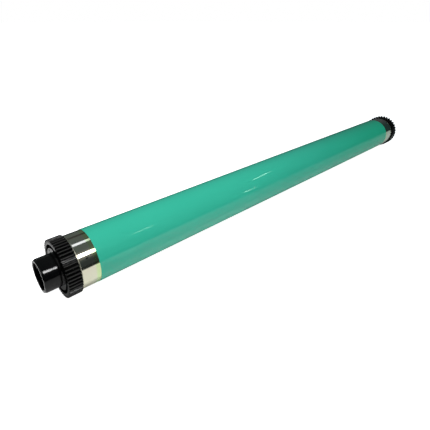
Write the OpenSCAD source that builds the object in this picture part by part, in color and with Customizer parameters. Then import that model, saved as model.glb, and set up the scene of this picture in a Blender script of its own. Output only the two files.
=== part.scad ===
// Photoconductor drum for a copier: a coated aluminium tube with a moulded gear
// flange in each end. Millimetres. The axis runs along X, with the bored hub of
// the front flange at -X. The origin is on the axis, midway along the drum.

/* [Drum] */
// Diameter over the coating
drum_d = 30; // [29:0.1:32]
// Length of the aluminium tube
tube_length = 360; // [240:0.5:400]
// Wall of the aluminium tube
tube_wall = 0.75; // [0.6:0.05:1.1]
// Thickness of the coated layer
coat_t = 0.1; // [0.1:0.02:0.2]
// Bare band at the front end
front_band = 10; // [5:0.5:20]
// Bare band at the rear end
rear_band = 13.5; // [5:0.5:20]
// Bevel on the outer edge of each tube end
tube_bevel = 0.25; // [0.1:0.05:0.4]

/* [Front gear flange] */
// Module of the front gear
front_module = 0.6; // [0.58:0.01:0.62]
// Teeth on the front gear
front_teeth = 51; // [49:1:54]
// Face width of the front gear
front_gear_w = 7.1; // [5:0.1:12]
// Wall of the gear rim inside its roots
front_rim_wall = 1.2; // [0.8:0.1:1.6]
// Width of the channel between rim and collar
channel_w = 1.9; // [1:0.1:2.2]
// Web left behind the channel
front_web = 2; // [1.2:0.1:3.5]
// Diameter of the journal
hub_d = 18; // [16.4:0.1:19]
// Length of the journal in front of the gear
hub_length = 8.9; // [5:0.1:20]
// Length of the taper at the journal's nose
nose_length = 1.05; // [0.4:0.05:2]
// Depth of the taper at the journal's nose
nose_depth = 0.55; // [0.2:0.05:0.7]
// Bore through the front flange
front_bore_d = 14.6; // [12:0.1:14.8]
// Bevel at the mouth of the front bore
front_mouth = 0.3; // [0.1:0.05:0.4]
// Fillet where the journal leaves the collar
hub_fillet = 0.5; // [0.2:0.1:1]
// Diameter of the dimple at the moulding gate
gate_d = 1.3; // [0.8:0.1:1.6]
// Depth of the dimple at the moulding gate
gate_depth = 0.5; // [0.2:0.1:1]
// Where the gate lies round the collar, from the bottom
gate_angle = 147; // [0:1:359]

/* [Rear gear flange] */
// Module of the rear gear, square to its teeth
rear_module = 0.8; // [0.78:0.01:0.82]
// Teeth on the rear gear
rear_teeth = 32; // [30:2:34]
// Helix angle of the rear gear
rear_helix = 33; // [27:1:35]
// Face width of the rear gear
rear_gear_w = 9; // [7:0.1:14]
// Thickness of the shoulder that seats on the tube
shoulder_t = 0.9; // [0.5:0.1:2]
// Wall of the gear rim inside its roots
rear_rim_wall = 1.6; // [1:0.1:2.4]
// Depth of the recess in the rear face
recess_depth = 7.2; // [3:0.1:8]
// Diameter of the boss in the recess
boss_d = 13.6; // [12:0.1:16]
// Ribs between the boss and the rim
rib_count = 6; // [4:1:8]
// Thickness of a rib
rib_t = 1.3; // [0.9:0.1:1.8]
// How far the ribs lie below the rear face
rib_drop = 1; // [0.4:0.1:2]
// Bore through the rear flange
rear_bore_d = 8.1; // [6:0.1:10]
// Bevel at the mouth of the rear bore
rear_mouth = 0.5; // [0.2:0.1:0.8]

/* [Spigots] */
// Length of each spigot inside the tube
spigot_length = 12; // [8:0.5:20]
// Gap for the adhesive around a spigot
glue_gap = 0.05; // [0.02:0.01:0.1]
// Wall of a spigot
spigot_wall = 1.5; // [1.1:0.1:2]
// Web that closes a spigot at the tube's end
spigot_web = 2; // [1.2:0.1:3]
// Taper at the open end of a spigot
lead_in = 0.8; // [0.4:0.1:1]
// Wall of the sleeve around the front bore inside the tube
sleeve_wall = 1.4; // [1:0.1:1.8]

/* [Earth contact] */
// Thickness of the contact sheet
contact_t = 0.3; // [0.2:0.05:0.5]
// How far the contact's ring stays inside the spigot's wall
contact_inset = 1.4; // [1:0.1:2]
// Width of the contact's ring
contact_ring_w = 4.6; // [3:0.1:5]
// Width of a barb that bites the tube
barb_w = 3; // [2:0.1:5]
// Width of a tongue that touches the shaft
tongue_w = 2.4; // [1.5:0.1:3]
// How far a tongue's tip stays outside the rear bore
tongue_gap = 0.1; // [0.05:0.05:0.3]
// Diameter of the moulded pins that hold the contact
pin_d = 1.8; // [1.2:0.1:2.2]
// Gap around a pin in the contact's hole
pin_gap = 0.1; // [0.05:0.05:0.2]
// How far the pins stand through the contact
pin_proud = 0.7; // [0.3:0.1:1.2]

/* [Hidden] */

$fn = 96;
pressure_angle = 20;
root_ratio = 1.25;
tooth_end_bevel = 0.2;
flank_steps = 3;
helix_slices = 6;
barb_count = 3;
weld = 0.1;

tube_r = drum_d / 2 - coat_t;
tube_bore_r = tube_r - tube_wall;
spigot_r = tube_bore_r - glue_gap;
hub_r = hub_d / 2;
front_bore_r = front_bore_d / 2;
rear_bore_r = rear_bore_d / 2;
boss_r = boss_d / 2;
rear_flange_w = shoulder_t + rear_gear_w;
overall_length = hub_length + front_gear_w + tube_length + rear_flange_w;
tube_front = hub_length + front_gear_w - overall_length / 2;
tube_rear = tube_front + tube_length;
front_root_r = pitch_r(front_module, front_teeth, 0) - root_ratio * front_module;
rear_root_r = pitch_r(rear_module, rear_teeth, rear_helix) - root_ratio * rear_module;
channel_r = front_root_r - front_rim_wall;
collar_r = channel_r - channel_w;
recess_r = rear_root_r - rear_rim_wall;
contact_r = spigot_r - contact_inset;
contact_inner_r = contact_r - contact_ring_w;
pin_circle_r = contact_r - contact_ring_w / 2;
pad_r = contact_ring_w / 2;

// Pitch radius of a gear whose teeth lean by the helix angle
function pitch_r(m, teeth, helix) = m * teeth / 2 / cos(helix);

// Angle in degrees that an involute turns through between its base circle and radius r
function unwind(base_r, r) = let (a = acos(base_r / r)) tan(a) * 180 / PI - a;

// Half the angle that a tooth takes up at radius r, widest at its root
function half_tooth(m, teeth, helix, r) =
    let (
        rolling_r = pitch_r(m, teeth, helix),
        base_r = rolling_r * cos(atan(tan(pressure_angle) / cos(helix)))
    )
    90 / teeth + unwind(base_r, rolling_r) - unwind(base_r, max(r, base_r));

function on_circle(r, a) = [r * cos(a), r * sin(a)];

// Outline of a gear across its axis, with the gap between two teeth at angle 0
function gear_outline(m, teeth, helix) =
    let (
        root_r = pitch_r(m, teeth, helix) - root_ratio * m,
        step = m * (1 + root_ratio) / flank_steps
    )
    [
        for (i = [0:teeth - 1])
        let (middle = (i + 0.5) * 360 / teeth)
        for (k = [0:2 * flank_steps + 1])
        let (
            rising = k <= flank_steps,
            r = root_r + step * (rising ? k : 2 * flank_steps + 1 - k),
            side = rising ? -1 : 1
        )
        on_circle(r, middle + side * half_tooth(m, teeth, helix, r))
    ];

// Gear rim standing on z = 0, with its tooth ends bevelled. Helical teeth turn
// clockwise going up, and start with a tooth at angle 0.
module gear_rim(m, teeth, w, helix = 0) {
    tip_r = pitch_r(m, teeth, helix) + m;
    turn = w * tan(helix) / pitch_r(m, teeth, helix) * 180 / PI;
    intersection() {
        if (helix == 0)
            linear_extrude(w) polygon(gear_outline(m, teeth, helix));
        else
            linear_extrude(w, twist = turn, slices = helix_slices)
            rotate(180 / teeth)
            polygon(gear_outline(m, teeth, helix));
        rotate_extrude() polygon([
            [0, 0],
            [tip_r - tooth_end_bevel, 0],
            [tip_r + tooth_end_bevel, 2 * tooth_end_bevel],
            [tip_r + tooth_end_bevel, w - 2 * tooth_end_bevel],
            [tip_r - tooth_end_bevel, w],
            [0, w]
        ]);
    }
}

// Ring between two radii, from z = from to z = to
module ring(inner_r, outer_r, from, to) {
    translate([0, 0, from])
    difference() {
        cylinder(r = outer_r, h = to - from);
        translate([0, 0, -weld]) cylinder(r = inner_r, h = to - from + 2 * weld);
    }
}

// Radial ribs between two radii, from z = from to z = to
module ribs(inner_r, outer_r, from, to) {
    for (i = [0:rib_count - 1])
        rotate(i * 360 / rib_count)
        translate([inner_r - weld, -rib_t / 2, from])
        cube([outer_r - inner_r + 2 * weld, rib_t, to - from]);
}

// Cup that fills the tube's end: a web, a tapered wall, and ribs to the sleeve
module spigot(sleeve_r) {
    wall_inner_r = spigot_r - spigot_wall;
    translate([0, 0, -weld]) cylinder(r = spigot_r, h = spigot_web + weld);
    rotate_extrude() polygon([
        [wall_inner_r, 0],
        [spigot_r, 0],
        [spigot_r, spigot_length - 2 * lead_in],
        [spigot_r - lead_in / 2, spigot_length],
        [wall_inner_r, spigot_length]
    ]);
    cylinder(r = sleeve_r, h = spigot_length);
    ribs(sleeve_r, wall_inner_r, spigot_web - weld, spigot_length - lead_in);
}

// Solid journal on z = 0 with a tapered nose and a fillet at its foot
module journal() {
    rotate_extrude() {
        polygon([
            [0, -weld],
            [hub_r, -weld],
            [hub_r, hub_length - nose_length],
            [hub_r - nose_depth, hub_length],
            [0, hub_length]
        ]);
        difference() {
            translate([hub_r - weld, -weld]) square(hub_fillet + weld);
            translate([hub_r + hub_fillet, hub_fillet]) circle(r = hub_fillet);
        }
    }
}

// Bore from z = from to z = to, with a bevelled mouth at z = from
module bore(r, from, to, mouth) {
    translate([0, 0, from - weld]) cylinder(r = r, h = to - from + 2 * weld);
    translate([0, 0, from - weld])
        cylinder(r1 = r + mouth + weld, r2 = r, h = mouth + weld);
}

// Carries its children from z to the drum's axis, with +Z pointing to +X
module facing_rear(x) {
    translate([x, 0, 0]) rotate([0, 90, 0]) children();
}

// Carries its children from z to the drum's axis, with +Z pointing to -X
module facing_front(x) {
    translate([x, 0, 0]) rotate([0, -90, 0]) children();
}

// Places its children at the contact's three barbs
module at_barbs() {
    for (i = [0:barb_count - 1]) rotate(i * 360 / barb_count) children();
}

module drum_tube() {
    color("silver")
    facing_rear(tube_front)
    rotate_extrude() polygon([
        [tube_bore_r, 0],
        [tube_r - tube_bevel, 0],
        [tube_r, tube_bevel],
        [tube_r, tube_length - tube_bevel],
        [tube_r - tube_bevel, tube_length],
        [tube_bore_r, tube_length]
    ]);
}

module photoconductor_coating() {
    color("mediumseagreen")
    facing_rear(tube_front)
    ring(tube_r, tube_r + coat_t, front_band, tube_length - rear_band);
}

module front_gear_flange() {
    color("#1c1d1f")
    facing_rear(tube_front)
    difference() {
        union() {
            difference() {
                translate([0, 0, -front_gear_w])
                    gear_rim(front_module, front_teeth, front_gear_w);
                ring(collar_r, channel_r, -front_gear_w - weld, -front_web);
            }
            translate([0, 0, -front_gear_w]) mirror([0, 0, 1]) journal();
            spigot(front_bore_r + sleeve_wall);
        }
        bore(front_bore_r, -front_gear_w - hub_length, spigot_length, front_mouth);
        rotate(gate_angle)
            translate([(hub_r + collar_r) / 2, 0, -front_gear_w - weld])
            cylinder(r = gate_d / 2, h = gate_depth + weld);
    }
}

module rear_gear_flange() {
    color("#1c1d1f")
    facing_front(tube_rear)
    difference() {
        union() {
            translate([0, 0, -shoulder_t]) cylinder(r = tube_r, h = shoulder_t);
            difference() {
                translate([0, 0, -rear_flange_w])
                    gear_rim(rear_module, rear_teeth, rear_gear_w, rear_helix);
                ring(boss_r, recess_r, -rear_flange_w - weld, recess_depth - rear_flange_w);
            }
            ribs(boss_r, recess_r, rib_drop - rear_flange_w, recess_depth - rear_flange_w + weld);
            spigot(boss_r);
            at_barbs()
                rotate(180 / barb_count)
                contact_pin();
        }
        bore(rear_bore_r, -rear_flange_w, spigot_length, rear_mouth);
    }
}

// Pad between the spigot's wall and sleeve, with the pin that holds the contact
module contact_pin() {
    translate([pin_circle_r, 0, spigot_web - weld])
        cylinder(r = pad_r, h = spigot_length - spigot_web + weld);
    translate([pin_circle_r, 0, spigot_length - weld])
        cylinder(r = pin_d / 2, h = contact_t + pin_proud + weld);
}

module earth_contact() {
    color("goldenrod")
    facing_front(tube_rear - spigot_length)
    linear_extrude(contact_t)
    difference() {
        union() {
            difference() {
                circle(r = contact_r);
                circle(r = contact_inner_r);
            }
            intersection() {
                circle(r = tube_bore_r);
                at_barbs()
                    translate([contact_inner_r + weld, -barb_w / 2])
                    square([tube_bore_r, barb_w]);
            }
            at_barbs()
                translate([rear_bore_r + tongue_gap, -tongue_w / 2])
                square([contact_inner_r + weld - rear_bore_r - tongue_gap, tongue_w]);
        }
        at_barbs()
            rotate(180 / barb_count)
            translate([pin_circle_r, 0])
            circle(r = pin_d / 2 + pin_gap);
    }
}

drum_tube();
photoconductor_coating();
front_gear_flange();
rear_gear_flange();
earth_contact();
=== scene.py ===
# %% [markdown]
# A photoconductor drum is the part of a copier that the picture is first drawn
# on, in electric charge. It is a thin aluminium tube with a green layer dipped
# on it, and a black moulded gear flange bonded into each end. This lesson
# dresses its engineering model: round surfaces are worked out with numpy, the
# moulded flanges get soft edges, and each finish is built from shader nodes.

# %% Load the frame
import math

import bmesh
import bpy
import numpy as np
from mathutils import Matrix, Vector


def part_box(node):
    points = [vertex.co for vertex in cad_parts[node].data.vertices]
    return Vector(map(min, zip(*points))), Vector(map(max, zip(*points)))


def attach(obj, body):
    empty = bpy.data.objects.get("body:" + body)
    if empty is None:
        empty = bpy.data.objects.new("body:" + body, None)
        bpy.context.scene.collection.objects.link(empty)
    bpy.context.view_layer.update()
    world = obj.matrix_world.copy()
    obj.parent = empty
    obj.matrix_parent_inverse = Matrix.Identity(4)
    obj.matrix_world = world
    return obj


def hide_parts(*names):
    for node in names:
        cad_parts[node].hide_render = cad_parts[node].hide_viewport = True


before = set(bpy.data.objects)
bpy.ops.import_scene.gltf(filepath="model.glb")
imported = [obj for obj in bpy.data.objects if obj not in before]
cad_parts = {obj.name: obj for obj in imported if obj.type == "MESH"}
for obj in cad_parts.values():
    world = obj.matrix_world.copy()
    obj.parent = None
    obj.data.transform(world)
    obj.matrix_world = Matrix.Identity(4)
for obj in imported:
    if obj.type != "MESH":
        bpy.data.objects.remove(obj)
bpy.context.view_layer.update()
print("nodes:", sorted(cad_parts))

# %% [markdown]
# Sizes could be typed in again, but then they would drift from the engineering
# model. So the tube, the coating and the flanges are measured here. The drum's
# axis is the X axis, and the unit is the metre.

# %% Sizes read from the frame
MM = 0.001
tube_lo, tube_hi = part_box("drum_tube")
coat_lo, coat_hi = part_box("photoconductor_coating")
front_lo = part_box("front_gear_flange")[0]
rear_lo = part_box("rear_gear_flange")[0]
tube_radius = tube_hi.y
coat_radius = coat_hi.y
floor_z = min(front_lo.z, rear_lo.z)
print("tube %.1f mm long" % ((tube_hi.x - tube_lo.x) / MM))
print("coating radius %.2f mm" % (coat_radius / MM))

# %% [markdown]
# The camera comes first, because everything is judged through it. It could be
# moved by eye until the picture looks right. A fit to the drum's outlines in
# the photo gives its place, direction and lens at once. It stands 20 cm from
# the coating's front edge, which is why the near end looks so much larger.

# %% Camera
CAMERA_FROM_COAT = Vector((-56.64, -157.12, 114.82)) * MM
VIEW_DIRECTION = Vector((0.60723, 0.67827, -0.41379))
SENSOR = 36.0
PICTURE = 430
FOCAL_SHARE = 350 / PICTURE
LENS_CENTRE = (204.53, 180.33)
NEAREST = 0.01

camera_data = bpy.data.cameras.new("camera")
camera_data.sensor_width = SENSOR
camera_data.lens = SENSOR * FOCAL_SHARE
camera_data.shift_x = 0.5 - LENS_CENTRE[0] / PICTURE
camera_data.shift_y = LENS_CENTRE[1] / PICTURE - 0.5
camera_data.clip_start = NEAREST
camera = bpy.data.objects.new("camera", camera_data)
camera.location = Vector((coat_lo.x, 0, 0)) + CAMERA_FROM_COAT
camera.rotation_euler = VIEW_DIRECTION.to_track_quat("-Z", "Y").to_euler()
bpy.context.scene.collection.objects.link(camera)
bpy.context.scene.camera = camera
print("lens %.1f mm, %.0f mm away" % (camera_data.lens, CAMERA_FROM_COAT.length / MM))

# %% [markdown]
# The tube and its green layer are round, so each can be a profile turned about
# the axis. A profile is a short list of (x, radius) points. No real edge is
# quite sharp, and a small round on each corner catches a line of light. A
# Bevel modifier could cut it, but in the profile it costs only a few points.

# %% Rounded profiles
ROUND_STEPS = 4


def rounded(profile, radius):
    """Closed profile with each corner p replaced by a quadratic Bezier arc.

    The arc starts a radius before p, on the line from the last corner, and ends
    a radius after it: (1 - t)^2 a + 2 t (1 - t) p + t^2 b, for t from 0 to 1."""
    p = np.array(profile, float)
    back, ahead = np.roll(p, 1, 0) - p, np.roll(p, -1, 0) - p
    a = p + back / np.linalg.norm(back, axis=1)[:, None] * radius
    b = p + ahead / np.linalg.norm(ahead, axis=1)[:, None] * radius
    t = np.linspace(0, 1, ROUND_STEPS)[None, :, None]
    arcs = (1 - t) ** 2 * a[:, None] + 2 * t * (1 - t) * p[:, None] + t**2 * b[:, None]
    return arcs.reshape(-1, 2)


print("each corner becomes", ROUND_STEPS, "points")

# %% [markdown]
# A lathe turns a profile into a round surface, and so could a Screw modifier.
# numpy does it for the whole array at once: one of its axes runs along the
# profile, and the other round the drum.

# %% Turned surfaces
AROUND = 256


def turned(profile):
    """Vertices (x, r cos a, r sin a) for each profile point (x, r) and angle a,
    and the quads between neighbours, closed along both."""
    angle = np.linspace(0, 2 * np.pi, AROUND, endpoint=False)[None, :]
    x, r = profile[:, 0:1], profile[:, 1:2]
    points = np.stack([x + 0 * angle, r * np.cos(angle), r * np.sin(angle)], axis=-1)
    rows = len(profile)
    i, j = np.meshgrid(np.arange(rows), np.arange(AROUND), indexing="ij")
    i2, j2 = (i + 1) % rows, (j + 1) % AROUND
    corners = [i * AROUND + j, i * AROUND + j2, i2 * AROUND + j2, i2 * AROUND + j]
    return points.reshape(-1, 3), np.stack(corners, axis=-1).reshape(-1, 4)


print("a face is %.2f mm wide" % (2 * math.pi * tube_radius / AROUND / MM))

# %% [markdown]
# Arrays have to become a piece that belongs to the drum. Blender could take
# them point by point, but foreach_set takes whole arrays. Smooth shading alone
# would bend the long straight faces beside a small round, so the normals are
# weighted by the area of each face.

# %% Pieces that ride on the drum
NORMAL_WEIGHT = 100


def keep_flat(piece):
    """Weights normals by face area, so that long faces stay straight."""
    weighted = piece.modifiers.new("long faces stay straight", "WEIGHTED_NORMAL")
    weighted.mode = "FACE_AREA"
    weighted.weight = NORMAL_WEIGHT


def mesh_piece(name, points, quads):
    """Puts arrays of points and quads into a smooth mesh piece that rides on the drum."""
    mesh = bpy.data.meshes.new(name)
    mesh.vertices.add(len(points))
    mesh.vertices.foreach_set("co", points.astype(np.float32).ravel())
    mesh.loops.add(quads.size)
    mesh.loops.foreach_set("vertex_index", quads.astype(np.int32).ravel())
    mesh.polygons.add(len(quads))
    mesh.polygons.foreach_set("loop_start", np.arange(0, quads.size, 4, dtype=np.int32))
    mesh.update(calc_edges=True)
    mesh.validate()
    mesh.polygons.foreach_set("use_smooth", np.ones(len(quads), bool))
    piece = bpy.data.objects.new(name, mesh)
    bpy.context.scene.collection.objects.link(piece)
    keep_flat(piece)
    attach(piece, "root")
    return piece


print("normals weighted by face area, at", NORMAL_WEIGHT)

# %% [markdown]
# The tube is drawn aluminium with a wall of 0.75 mm, and its ends are turned
# with a small bevel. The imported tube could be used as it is, but it has few
# facets, and they would break the long reflections on bright metal. So this
# finer surface stands for it.

# %% Aluminium tube
TUBE_WALL = 0.75 * MM
TUBE_BEVEL = 0.25 * MM
TUBE_ROUND = 0.1 * MM
bore_radius = tube_radius - TUBE_WALL
tube_profile = rounded(
    [
        (tube_lo.x, bore_radius),
        (tube_hi.x, bore_radius),
        (tube_hi.x, tube_radius - TUBE_BEVEL),
        (tube_hi.x - TUBE_BEVEL, tube_radius),
        (tube_lo.x + TUBE_BEVEL, tube_radius),
        (tube_lo.x, tube_radius - TUBE_BEVEL),
    ],
    TUBE_ROUND,
)
points, quads = turned(tube_profile)
tube = mesh_piece("bare_aluminium_tube", points, quads)
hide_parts("drum_tube")
print(tube.name, len(quads), "faces")

# %% [markdown]
# The green layer is dipped on, and wiped off again at both ends. It could be a
# colour on the tube, but it stands above the metal, and its edge shows. That
# edge is nearly a step: a low wall, then a slope 0.03 mm wide.

# %% Photoconductor coating
FEATHER = 0.03 * MM
FEATHER_ROUND = FEATHER / 5
LOW_WALL = 0.02 * MM
coat_profile = rounded(
    [
        (coat_lo.x, tube_radius),
        (coat_hi.x, tube_radius),
        (coat_hi.x, tube_radius + LOW_WALL),
        (coat_hi.x - FEATHER, coat_radius),
        (coat_lo.x + FEATHER, coat_radius),
        (coat_lo.x, tube_radius + LOW_WALL),
    ],
    FEATHER_ROUND,
)
points, quads = turned(coat_profile)
coating = mesh_piece("green_photoconductor_layer", points, quads)
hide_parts("photoconductor_coating")
print(coating.name, len(quads), "faces")

# %% [markdown]
# The flanges are injection mouldings, and no moulded edge is sharp. They could
# be drawn again with finer edges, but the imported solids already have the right
# teeth, channel and hub. So a copy of each is merged into flat faces, and every
# hard edge gets a fine bevel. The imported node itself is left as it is.

# %% Moulded flanges
MERGE = 0.001 * MM
FLAT = math.radians(0.5)
HARD = math.radians(25)
EDGE_ROUND = 0.12 * MM
EDGE_STEPS = 2


def moulding(node, name):
    """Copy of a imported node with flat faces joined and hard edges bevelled."""
    bm = bmesh.new()
    bm.from_mesh(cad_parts[node].data)
    bmesh.ops.remove_doubles(bm, verts=bm.verts, dist=MERGE)
    bmesh.ops.dissolve_limit(bm, angle_limit=FLAT, verts=bm.verts, edges=bm.edges)
    for face in bm.faces:
        face.smooth = True
    mesh = bpy.data.meshes.new(name)
    bm.to_mesh(mesh)
    bm.free()
    piece = bpy.data.objects.new(name, mesh)
    bpy.context.scene.collection.objects.link(piece)
    bevel = piece.modifiers.new("moulded edges", "BEVEL")
    bevel.width = EDGE_ROUND
    bevel.segments = EDGE_STEPS
    bevel.limit_method = "ANGLE"
    bevel.angle_limit = HARD
    bevel.harden_normals = True
    keep_flat(piece)
    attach(piece, "root")
    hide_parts(node)
    print(piece.name, len(mesh.polygons), "faces before the bevel")
    return piece


front_flange = moulding("front_gear_flange", "front_flange_moulding")
rear_flange = moulding("rear_gear_flange", "rear_flange_moulding")

# %% [markdown]
# A finish is a small network of nodes, and the same few steps come back in each
# one. They could be placed by hand every time. A function for each step keeps
# the finishes short enough to read.

# %% Helpers for nodes


def new_group(name, inputs, outputs):
    """Empty shader group with float inputs (name, value) and float outputs."""
    group = bpy.data.node_groups.new(name, "ShaderNodeTree")
    for label, value in inputs:
        socket = group.interface.new_socket(label, in_out="INPUT", socket_type="NodeSocketFloat")
        socket.default_value = value
    for label in outputs:
        group.interface.new_socket(label, in_out="OUTPUT", socket_type="NodeSocketFloat")
    return group, group.nodes.new("NodeGroupInput"), group.nodes.new("NodeGroupOutput")


def math_node(tree, operation, a, b):
    """Math node on two inputs, each a socket or a number."""
    node = tree.nodes.new("ShaderNodeMath")
    node.operation = operation
    for socket, value in zip(node.inputs, (a, b)):
        if isinstance(value, (int, float)):
            socket.default_value = value
        else:
            tree.links.new(value, socket)
    return node.outputs[0]


def noise_node(tree, vector, scale, detail):
    """Noise texture on a vector, with its scale taken from a socket."""
    node = tree.nodes.new("ShaderNodeTexNoise")
    node.inputs["Detail"].default_value = detail
    tree.links.new(vector, node.inputs["Vector"])
    tree.links.new(scale, node.inputs["Scale"])
    return node.outputs["Fac"]


def object_place(tree):
    """Object coordinates: where a point lies on the drum."""
    return tree.nodes.new("ShaderNodeTexCoord").outputs["Object"]


def axes(tree, vector):
    """A vector split into its X, Y and Z."""
    parts = tree.nodes.new("ShaderNodeSeparateXYZ")
    tree.links.new(vector, parts.inputs[0])
    return parts.outputs


print("helpers:", [step.__name__ for step in (new_group, math_node, noise_node, axes)])

# %% [markdown]
# Shader groups hold the effects that several finishes share. Turned rings are
# the fine marks of a lathe: noise that changes along the axis and is constant
# round it. Smudges are soft patches, broad or fine, which can change a gloss, a
# colour or a height. Pictures of wear could be painted instead, but noise needs
# no unwrapping and has no seam.

# %% Shared shader groups
RING_DETAIL = 3.0
SMUDGE_DETAIL = 4.0
MIDDLE = 0.5


def turned_rings():
    """Group: a height that changes along X only, from noise of a given scale."""
    group, given, result = new_group("Turned Rings", [("Scale", 4000.0)], ["Height"])
    along = group.nodes.new("ShaderNodeCombineXYZ")
    group.links.new(axes(group, object_place(group))["X"], along.inputs["X"])
    height = noise_node(group, along.outputs[0], given.outputs["Scale"], RING_DETAIL)
    group.links.new(height, result.inputs["Height"])
    return group


def smudges():
    """Group: soft patches between 0 and 1, sharper as Contrast grows."""
    group, given, result = new_group("Smudges", [("Scale", 60.0), ("Contrast", 3.0)], ["Mask"])
    cloud = noise_node(group, object_place(group), given.outputs["Scale"], SMUDGE_DETAIL)
    centred = math_node(group, "SUBTRACT", cloud, MIDDLE)
    spread = math_node(group, "MULTIPLY", centred, given.outputs["Contrast"])
    mask = math_node(group, "ADD", spread, MIDDLE)
    limit = group.nodes.new("ShaderNodeClamp")
    group.links.new(mask, limit.inputs["Value"])
    group.links.new(limit.outputs[0], result.inputs["Mask"])
    return group


RINGS = turned_rings()
SMUDGES = smudges()
print("groups:", RINGS.name, SMUDGES.name)

# %% [markdown]
# Each finish is one material: a Principled shader whose inputs are driven by
# groups, ramps and mixes. Values that never change over the surface are set on
# the shader's own sockets, because those survive the export.

# %% Helpers for materials
# The Mix node lists its colour sockets after those for numbers and vectors.
COLOUR_A = 6
COLOUR_B = 7
COLOUR_RESULT = 2


def new_material(name, **values):
    """Principled material with constant values set on the shader's own sockets."""
    material = bpy.data.materials.new(name)
    material.use_nodes = True
    shader = material.node_tree.nodes["Principled BSDF"]
    for label, value in values.items():
        shader.inputs[label.replace("_", " ")].default_value = value
    return material, material.node_tree, shader


def place(tree, group, **values):
    """Puts a group into a material with its own values."""
    node = tree.nodes.new("ShaderNodeGroup")
    node.node_tree = group
    for label, value in values.items():
        node.inputs[label].default_value = value
    return node.outputs[0]


def ramp(tree, value, low, high, low_out, high_out):
    """Straight ramp of a value from one range to another, held at its ends."""
    node = tree.nodes.new("ShaderNodeMapRange")
    tree.links.new(value, node.inputs["Value"])
    limits = {"From Min": low, "From Max": high, "To Min": low_out, "To Max": high_out}
    for label, number in limits.items():
        node.inputs[label].default_value = number
    return node.outputs["Result"]


def mix_colour(tree, share, first, second):
    """Mix of two colours, each a socket or (r, g, b)."""
    node = tree.nodes.new("ShaderNodeMix")
    node.data_type = "RGBA"
    tree.links.new(share, node.inputs["Factor"])
    for index, value in ((COLOUR_A, first), (COLOUR_B, second)):
        if isinstance(value, tuple):
            node.inputs[index].default_value = (*value, 1)
        else:
            tree.links.new(value, node.inputs[index])
    return node.outputs[COLOUR_RESULT]


def vector_node(tree, operation, vector, by=None):
    """Vector node on a socket and, where the operation takes one, a constant vector."""
    node = tree.nodes.new("ShaderNodeVectorMath")
    node.operation = operation
    tree.links.new(vector, node.inputs[0])
    if by is not None:
        node.inputs[1].default_value = by
    return node.outputs["Value" if operation == "LENGTH" else "Vector"]


def bump(tree, height, distance):
    """Bump node whose height is in metres times distance."""
    node = tree.nodes.new("ShaderNodeBump")
    node.inputs["Distance"].default_value = distance
    tree.links.new(height, node.inputs["Height"])
    return node.outputs["Normal"]


def dress(piece, material):
    """Gives a piece one material."""
    piece.data.materials.clear()
    piece.data.materials.append(material)
    print(piece.name, "wears", material.name, "of", len(material.node_tree.nodes), "nodes")


print("helpers:", [step.__name__ for step in (new_material, place, ramp, mix_colour, bump)])

# %% [markdown]
# Bright aluminium is a mirror with a faint warm tint, and the lathe leaves fine
# rings round it. Beside the green layer a film tints the metal yellow-green.
# The turned edge at each tube end is matt, so it shows as a pale line, and
# handling has left one small dark scuff. Each could be a piece or a picture of
# its own. As masks on one material they fade into one another.

# %% Aluminium finish
ALUMINIUM = (0.80, 0.77, 0.62)
UNDERCOAT = (0.69, 0.82, 0.45)
FILM_WIDTH = 2.8 * MM
FILM_FULL = 0.6 * FILM_WIDTH
EDGE_WIDTH = 0.5 * MM
EDGE_FADE = 1.2 * EDGE_WIDTH
EDGE_MATT = 0.4
SCUFF_ALONG = -5.3 * MM
SCUFF_ANGLE = math.radians(147.5)
SCUFF_SIZE = (0.75 * MM, 0.45 * MM, 0.45 * MM)
SCUFF_GREY = (0.035, 0.035, 0.035)
SCUFF_FADE = (0.9, 1.7)
SCUFF_RAGGED = {"Scale": 1500.0, "Contrast": 2.0}
LATHE_SCALE = 3000.0
LATHE_SPREAD = (0.3, 0.7)
LATHE_ROUGH = (0.05, 0.09)
LATHE_HEIGHT = 0.0012 * MM
HANDLED = {"Scale": 90.0, "Contrast": 4.0}
HANDLED_ROUGH = 0.03


def near_point(tree, vector, centre, size):
    """Distance from a point in units of the given half sizes: 1 on the ellipsoid."""
    away = vector_node(tree, "SUBTRACT", vector, centre)
    return vector_node(tree, "LENGTH", vector_node(tree, "DIVIDE", away, size))


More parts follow.
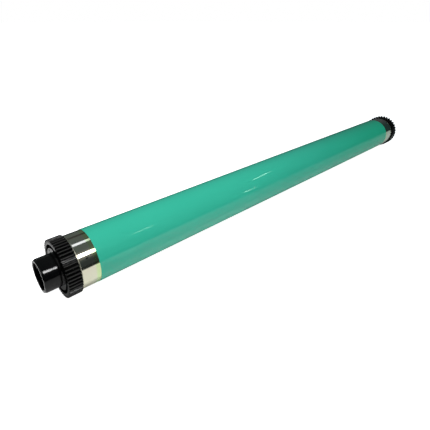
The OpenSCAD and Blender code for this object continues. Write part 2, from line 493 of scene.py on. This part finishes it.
def aluminium_finish():
    """Mirror metal, ringed by the lathe, with a tinted film beside the coating."""
    material, tree, shader = new_material("bright_turned_aluminium", Metallic=1.0)
    where = object_place(tree)
    x = axes(tree, where)["X"]
    front_film = ramp(tree, x, coat_lo.x - FILM_WIDTH, coat_lo.x - FILM_FULL, 0, 1)
    rear_film = ramp(tree, x, coat_hi.x + FILM_FULL, coat_hi.x + FILM_WIDTH, 1, 0)
    film = math_node(tree, "MULTIPLY", front_film, rear_film)
    tinted = mix_colour(tree, film, ALUMINIUM, UNDERCOAT)
    scuff_at = (
        coat_lo.x + SCUFF_ALONG,
        tube_radius * math.cos(SCUFF_ANGLE),
        tube_radius * math.sin(SCUFF_ANGLE),
    )
    ragged = place(tree, SMUDGES, **SCUFF_RAGGED)
    reach = math_node(tree, "ADD", near_point(tree, where, scuff_at, SCUFF_SIZE), ragged)
    scuff = ramp(tree, reach, *SCUFF_FADE, 1, 0)
    tree.links.new(mix_colour(tree, scuff, tinted, SCUFF_GREY), shader.inputs["Base Color"])
    rings = place(tree, RINGS, Scale=LATHE_SCALE)
    handled = math_node(tree, "MULTIPLY", place(tree, SMUDGES, **HANDLED), HANDLED_ROUGH)
    ringed = ramp(tree, rings, *LATHE_SPREAD, *LATHE_ROUGH)
    rough = math_node(tree, "ADD", ringed, handled)
    front_edge = ramp(tree, x, tube_lo.x + EDGE_WIDTH, tube_lo.x + EDGE_FADE, EDGE_MATT, 0)
    rear_edge = ramp(tree, x, tube_hi.x - EDGE_FADE, tube_hi.x - EDGE_WIDTH, 0, EDGE_MATT)
    edges = math_node(tree, "ADD", front_edge, rear_edge)
    tree.links.new(math_node(tree, "ADD", rough, edges), shader.inputs["Roughness"])
    tree.links.new(bump(tree, rings, LATHE_HEIGHT), shader.inputs["Normal"])
    return material


dress(tube, aluminium_finish())

# %% [markdown]
# The green layer is smooth and glossy. Its colour drifts in broad faint clouds,
# and handling leaves faint dull patches. Toward the rear it is painted a little
# darker, as a painted shade. One flat green would be simpler, but so large and
# plain a surface would look like paint in a drawing.

# %% Photoconductor finish
GREEN = (0.041, 0.475, 0.330)
GREEN_DEEP = (0.036, 0.455, 0.315)
# Painted shade: the green is painted darker toward the rear end.
GREEN_FAR_SHADED = (0.020, 0.455, 0.270)
FAR_SHADE_START = 200 * MM
FAR_SHADE_END = 340 * MM
GREEN_IOR = 1.5
GREEN_ROUGH = (0.02, 0.035)
CLOUDS = {"Scale": 25.0, "Contrast": 2.0}
DULL_PATCHES = {"Scale": 70.0, "Contrast": 3.0}
DIP_SCALE = 900.0
DIP_HEIGHT = 0.001 * MM


def coating_finish():
    """Glossy green layer with faint clouds in its colour and its gloss."""
    material, tree, shader = new_material("glossy_green_photoconductor", IOR=GREEN_IOR)
    clouds = place(tree, SMUDGES, **CLOUDS)
    x = axes(tree, object_place(tree))["X"]
    # Painted shade: the green darkens toward the rear end.
    far_shade = ramp(tree, x, coat_lo.x + FAR_SHADE_START, coat_lo.x + FAR_SHADE_END, 0, 1)
    clouded = mix_colour(tree, clouds, GREEN, GREEN_DEEP)
    tree.links.new(mix_colour(tree, far_shade, clouded, GREEN_FAR_SHADED), shader.inputs["Base Color"])
    patches = place(tree, SMUDGES, **DULL_PATCHES)
    tree.links.new(ramp(tree, patches, 0, 1, *GREEN_ROUGH), shader.inputs["Roughness"])
    rings = place(tree, RINGS, Scale=DIP_SCALE)
    tree.links.new(bump(tree, rings, DIP_HEIGHT), shader.inputs["Normal"])
    return material


dress(coating, coating_finish())

# %% [markdown]
# The flanges are black acetal. Slow waves, where it shrank in the mould, break
# up the highlights. The journal is the most polished, so a thin coat adds shine
# there and fades out toward the teeth. The teeth are matt, as from a
# spark-eroded cavity, and the front gear's tips carry a pale painted highlight.
# Four materials could do this with hard borders, but one that reads the
# distance from the axis blends them as the mould does.

# %% Black moulding finish
BLACK = (0.0015, 0.0015, 0.0017)
DUSTY = (0.003, 0.003, 0.003)
# Painted highlight: the front gear's tooth tips are painted paler.
TIP_HIGHLIGHT = (0.023, 0.023, 0.022)
ACETAL_IOR = 1.48
SHEEN = 0.20
POLISH = 0.21
POLISH_ROUGH = 0.06
FACE_ROUGH = (0.07, 0.14)
JOURNAL_EDGE = 9.2 * MM
TEETH_START = 14.0 * MM
TEETH_FULL = 14.5 * MM
TEETH_MATT = 0.09
TIP_START = 15.45 * MM
TIP_FULL = 15.75 * MM
NEAR_FADE = 1.0 * MM
ACROSS = (0, 1, 1)
DUST = {"Scale": 160.0, "Contrast": 3.0}
WAVES = {"Scale": 420.0, "Contrast": 1.5}
WAVE_HEIGHT = 0.045 * MM


def moulding_finish():
    """Black plastic: polished faces with slow waves, and matt teeth."""
    material, tree, shader = new_material(
        "black_acetal", IOR=ACETAL_IOR, Specular_IOR_Level=SHEEN, Coat_Roughness=POLISH_ROUGH
    )
    dust = place(tree, SMUDGES, **DUST)
    where = object_place(tree)
    radius = vector_node(tree, "LENGTH", vector_node(tree, "MULTIPLY", where, ACROSS))
    matt = ramp(tree, radius, TEETH_START, TEETH_FULL, 0, TEETH_MATT)
    tips = ramp(tree, radius, TIP_START, TIP_FULL, 0, 1)
    near_end = ramp(tree, axes(tree, where)["X"], coat_lo.x, coat_lo.x + NEAR_FADE, 1, 0)
    # Painted highlight: paler colour on the tooth tips at the near end.
    tip_highlight = math_node(tree, "MULTIPLY", tips, near_end)
    dusted = mix_colour(tree, dust, BLACK, DUSTY)
    tree.links.new(mix_colour(tree, tip_highlight, dusted, TIP_HIGHLIGHT), shader.inputs["Base Color"])
    polished = ramp(tree, radius, JOURNAL_EDGE, TEETH_START, POLISH, 0)
    tree.links.new(polished, shader.inputs["Coat Weight"])
    face_rough = ramp(tree, dust, 0, 1, *FACE_ROUGH)
    tree.links.new(math_node(tree, "ADD", face_rough, matt), shader.inputs["Roughness"])
    waves = place(tree, SMUDGES, **WAVES)
    tree.links.new(bump(tree, waves, WAVE_HEIGHT), shader.inputs["Normal"])
    return material


black_acetal = moulding_finish()
dress(front_flange, black_acetal)
dress(rear_flange, black_acetal)

# %% [markdown]
# The earth contact is stamped from phosphor bronze sheet and sits inside the
# tube. It could have a finer mesh of its own, but a flat stamping needs no more
# than a good finish, so it keeps its packed one.

# %% Contact finish
BRONZE = (0.62, 0.42, 0.22)
BRONZE_DULL = (0.44, 0.30, 0.17)
BRONZE_PATCHES = {"Scale": 300.0, "Contrast": 3.0}
BRONZE_ROUGH = (0.22, 0.4)


def bronze_finish():
    """Rolled bronze with dull patches in its colour and its gloss."""
    material, tree, shader = new_material("phosphor_bronze", Metallic=1.0)
    patches = place(tree, SMUDGES, **BRONZE_PATCHES)
    tree.links.new(mix_colour(tree, patches, BRONZE, BRONZE_DULL), shader.inputs["Base Color"])
    tree.links.new(ramp(tree, patches, 0, 1, *BRONZE_ROUGH), shader.inputs["Roughness"])
    return material


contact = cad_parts["earth_contact"]
dress(contact, bronze_finish())

# %% [markdown]
# The drum lies on plain pale paper, which the camera sees as even white. Bright
# metal mirrors more than that: the paper's front and back edges, the dark table
# beyond them, a middle painted dimmer as a painted shade, and a pool of light in
# front of the near end.
# A real sheet on a real table could be built, but then its edges would show in
# the picture. So one plain floor has those tones for every ray but the camera's.

# %% Floor
FLOOR_SIZE = 60.0
FLOOR_ROUGH = 0.9
PAPER = (0.81, 0.80, 0.79)
# Painted shade: the paper's middle is painted dimmer.
PAPER_SHADED_MIDDLE = (0.60, 0.74, 0.71)
PAPER_FAR = (0.76, 0.90, 0.93)
PAPER_DIMS = (-0.09, -0.01)
PAPER_CLEARS = (0.17, 0.23)
PAPER_SLANT = 0.55
PAPER_FRONT = (-0.212, -0.182)
PAPER_BACK = (0.05, 0.09)
TABLE = (0.03, 0.035, 0.035)
FLOOR_GLOW = 0.05
POOL_STARTS = (-0.150, -0.128)
POOL_FADES = (-0.128, 0.10)
POOL_DEPTH = (-0.085, -0.025)
POOL_GLOW = 0.26
WHITE = (1.0, 1.0, 1.0)

floor_mesh = bpy.data.meshes.new("floor")
half = FLOOR_SIZE / 2
floor_mesh.from_pydata(
    [(-half, -half, floor_z), (half, -half, floor_z), (half, half, floor_z), (-half, half, floor_z)],
    [],
    [(0, 1, 2, 3)],
)
floor = bpy.data.objects.new("floor", floor_mesh)
bpy.context.scene.collection.objects.link(floor)


def floor_finish():
    """Paper, table and pool of light for mirrors, and plain white for the camera."""
    material, tree, shader = new_material("pale_floor", Roughness=FLOOR_ROUGH)
    shader.inputs["Specular IOR Level"].default_value = 0.0
    shader.inputs["Emission Color"].default_value = (*WHITE, 1)
    seen = tree.nodes.new("ShaderNodeLightPath").outputs["Is Camera Ray"]
    parts = axes(tree, object_place(tree))
    x, depth = parts["X"], parts["Y"]
    front_depth = math_node(tree, "ADD", depth, math_node(tree, "MULTIPLY", x, PAPER_SLANT))
    past_front = ramp(tree, front_depth, *PAPER_FRONT, 0, 1)
    before_back = ramp(tree, depth, *PAPER_BACK, 1, 0)
    paper = math_node(tree, "MULTIPLY", past_front, before_back)
    bright = math_node(tree, "MAXIMUM", paper, seen)
    # Painted shade: the paper is painted dimmer toward the middle, and clears again toward the far
    # end.
    paper_and_shade = mix_colour(tree, ramp(tree, x, *PAPER_DIMS, 0, 1), PAPER, PAPER_SHADED_MIDDLE)
    colour = mix_colour(tree, ramp(tree, x, *PAPER_CLEARS, 0, 1), paper_and_shade, PAPER_FAR)
    tree.links.new(mix_colour(tree, bright, TABLE, colour), shader.inputs["Base Color"])
    pool_along = ramp(tree, x, *POOL_STARTS, 0, 1)
    pool_fades = ramp(tree, x, *POOL_FADES, POOL_GLOW, 0)
    pool_depth = ramp(tree, depth, *POOL_DEPTH, 1, 0)
    pool_shape = math_node(tree, "MULTIPLY", pool_along, pool_depth)
    pool = math_node(tree, "MULTIPLY", pool_shape, pool_fades)
    glow = math_node(tree, "ADD", pool, FLOOR_GLOW)
    lift = math_node(tree, "MAXIMUM", glow, seen)
    tree.links.new(math_node(tree, "MULTIPLY", lift, bright), shader.inputs["Emission Strength"])
    return material


dress(floor, floor_finish())
print("floor at z %.2f mm" % (floor_z / MM))

# %% [markdown]
# Bright metal looks like metal only when it has something dark to mirror. A
# dark room could be built round the drum, but a background with a few tones does
# the same: dark grey, darker low in front, and darker again toward the far end.
# The camera alone sees it as white.

# %% Air around the drum
AIR = (0.095, 0.112, 0.112)
AIR_LOW = (0.033, 0.040, 0.043)
AIR_FAR = (0.017, 0.036, 0.038)
AIR_FAR_BEHIND = (0.055, 0.064, 0.075)
TOWARD_FAR = (0.35, 0.85)
HIGH = (0.30, 0.62)
BEHIND = (-0.2, 0.2)

world = bpy.data.worlds.new("studio")
bpy.context.scene.world = world
world.use_nodes = True
sky = world.node_tree
sky.nodes.clear()
rays = sky.nodes.new("ShaderNodeLightPath")
direction = sky.nodes.new("ShaderNodeTexCoord")
heading = axes(sky, direction.outputs["Generated"])
toward_far = ramp(sky, heading["X"], *TOWARD_FAR, 0, 1)
high = ramp(sky, heading["Z"], *HIGH, 0, 1)
behind = ramp(sky, heading["Y"], *BEHIND, 0, 1)
open_air = math_node(sky, "MAXIMUM", high, behind)
around_it = sky.nodes.new("ShaderNodeBackground")
near_air = mix_colour(sky, open_air, AIR_LOW, AIR)
far_air = mix_colour(sky, behind, AIR_FAR, AIR_FAR_BEHIND)
sky.links.new(mix_colour(sky, toward_far, near_air, far_air), around_it.inputs["Color"])
behind_it = sky.nodes.new("ShaderNodeBackground")
behind_it.inputs["Color"].default_value = (*WHITE, 1)
blend = sky.nodes.new("ShaderNodeMixShader")
output = sky.nodes.new("ShaderNodeOutputWorld")
sky.links.new(rays.outputs["Is Camera Ray"], blend.inputs[0])
sky.links.new(around_it.outputs[0], blend.inputs[1])
sky.links.new(behind_it.outputs[0], blend.inputs[2])
sky.links.new(blend.outputs[0], output.inputs["Surface"])
print(world.name, len(sky.nodes), "nodes")

# %% [markdown]
# Two lights give the drum its form. A square light above the near end makes the
# green fade toward the far one, and a broad soft light comes from the front. One
# large lamp could do both, but it would light both ends alike. Neither is
# mirrored: what the drum mirrors is made by the panels of the next step.

# %% Lights
KEY_AT = (-0.147, -0.034, 0.31)
KEY_AIM = (-0.147, 0, 0)
KEY_ENERGY = 0.72
KEY_SIZE = 0.15
FRONT_AT = (0, -0.77, 0.64)
FRONT_AIM = (0, 0, 0)
FRONT_ENERGY = 1.2
FRONT_SOFTNESS = math.radians(60)


def add_light(name, kind, at, aim, energy):
    """Light that is never mirrored, turned to face a point."""
    data = bpy.data.lights.new(name, kind)
    data.energy = energy
    light = bpy.data.objects.new(name, data)
    light.location = at
    light.rotation_euler = (Vector(aim) - Vector(at)).to_track_quat("-Z", "Y").to_euler()
    light.visible_glossy = False
    light.visible_camera = False
    bpy.context.scene.collection.objects.link(light)
    print(name, kind, energy)
    return data


key = add_light("key", "AREA", KEY_AT, KEY_AIM, KEY_ENERGY)
key.shape = "RECTANGLE"
key.size = KEY_SIZE
key.size_y = KEY_SIZE
front_light = add_light("front_light", "SUN", FRONT_AT, FRONT_AIM, FRONT_ENERGY)
front_light.angle = FRONT_SOFTNESS

# %% [markdown]
# A long bright line on a round mirror is the picture of one small panel. Lines
# could be painted on the drum, but then they would stay behind when the view
# turns. So panels stand 1 to 2.3 m away, where the lines in the photo point to:
# windows, a cool skylight, greenish lamps, and broad dim ones for the soft tones
# between them.

# %% Reflected panels
SKY_TINT = (0.94, 1.0, 1.22)
LAMP_TINT = (0.60, 1.0, 0.82)
WINDOW_LEFT = [(0.0, -0.99, 0.84), (0.092, -0.99, 0.84), (0.172, -0.99, 1.345), (0.06, -0.99, 1.40)]
WINDOW_RIGHT = [(0.15, -0.99, 0.84), (0.235, -0.99, 0.84), (0.345, -0.99, 1.32), (0.255, -0.99, 1.345)]
GLOW_ABOVE = [(-0.3, -1.0, 1.2), (0.32, -1.0, 1.2), (0.42, -1.0, 1.85), (-0.3, -1.0, 1.85)]
GLOW_BELOW = [(-0.3, -1.0, 0.56), (0.19, -1.0, 0.56), (0.23, -1.0, 0.85), (-0.3, -1.0, 0.85)]
SKYLIGHT = [(0.16, 0.06, 1.42), (0.268, 0.06, 1.42), (0.284, 0.33, 1.42), (0.16, 0.33, 1.42)]
DARK_BEAM = [(-0.5, 1.0, 0.66), (0.6, 1.0, 0.66), (0.6, 1.0, 0.98), (-0.5, 1.0, 0.98)]
END_WALL = [(-1.6, -0.8, 0.4), (-1.6, 0.8, 0.4), (-1.6, 0.8, 1.4), (-1.6, -0.8, 1.4)]
# Each panel: name, corners, radiance, tint.
PANELS = (
    ("window_left", WINDOW_LEFT, 28.0, WHITE),
    ("window_right", WINDOW_RIGHT, 8.0, WHITE),
    ("glow_above", GLOW_ABOVE, 0.17, WHITE),
    ("glow_below", GLOW_BELOW, 0.15, WHITE),
    ("skylight", SKYLIGHT, 1.2, SKY_TINT),
    ("dark_beam", DARK_BEAM, 0.045, WHITE),
    ("end_wall", END_WALL, 1.05, WHITE),
)
# Each lamp: name, first end, last end, height across, radiance.
LAMPS = (
    ("lamp_near", (0.455, -0.982, 0.983), (0.544, -0.961, 0.953), 0.025, 22.0),
    ("lamp_far", (1.011, -0.523, 0.946), (1.081, -0.375, 0.955), 0.025, 15.0),
    ("lamp_low", (0.958, -1.072, 0.319), (1.007, -1.033, 0.325), 0.024, 26.0),
)


def panel(name, corners, radiance, tint):
    """Emitting panel with four corners, seen only in reflections."""
    mesh = bpy.data.meshes.new(name)
    mesh.from_pydata([Vector(c) for c in corners], [], [(0, 1, 2, 3)])
    sheet = bpy.data.objects.new(name, mesh)
    bpy.context.scene.collection.objects.link(sheet)
    material = bpy.data.materials.new(name)
    material.use_nodes = True
    tree = material.node_tree
    tree.nodes.clear()
    glow = tree.nodes.new("ShaderNodeEmission")
    glow.inputs["Color"].default_value = (*tint, 1)
    glow.inputs["Strength"].default_value = radiance
    out = tree.nodes.new("ShaderNodeOutputMaterial")
    tree.links.new(glow.outputs[0], out.inputs["Surface"])
    mesh.materials.append(material)
    sheet.visible_camera = False
    sheet.visible_diffuse = False
    sheet.visible_shadow = False


def lamp(name, first, last, height, radiance):
    """Panel along the line from first to last, a given height across it.

    The height is laid at right angles both to that line, b - a, and to the
    direction from the drum to its middle, (a + b) / 2."""
    a, b = Vector(first), Vector(last)
    up = (b - a).normalized().cross(((a + b) / 2).normalized()).normalized() * (height / 2)
    panel(name, [a - up, b - up, b + up, a + up], radiance, LAMP_TINT)


for values in PANELS:
    panel(*values)
for values in LAMPS:
    lamp(*values)
print(len(PANELS), "panels and", len(LAMPS), "lamps")

# %% [markdown]
# Blender's usual view softens bright colours, as film does. A photo of a product
# on white has plain ones, so the plain view is chosen and nothing is corrected
# after the render.

# %% Plain colours
bpy.context.scene.view_settings.view_transform = "Standard"
bpy.context.scene.view_settings.look = "None"
print("view:", bpy.context.scene.view_settings.view_transform)
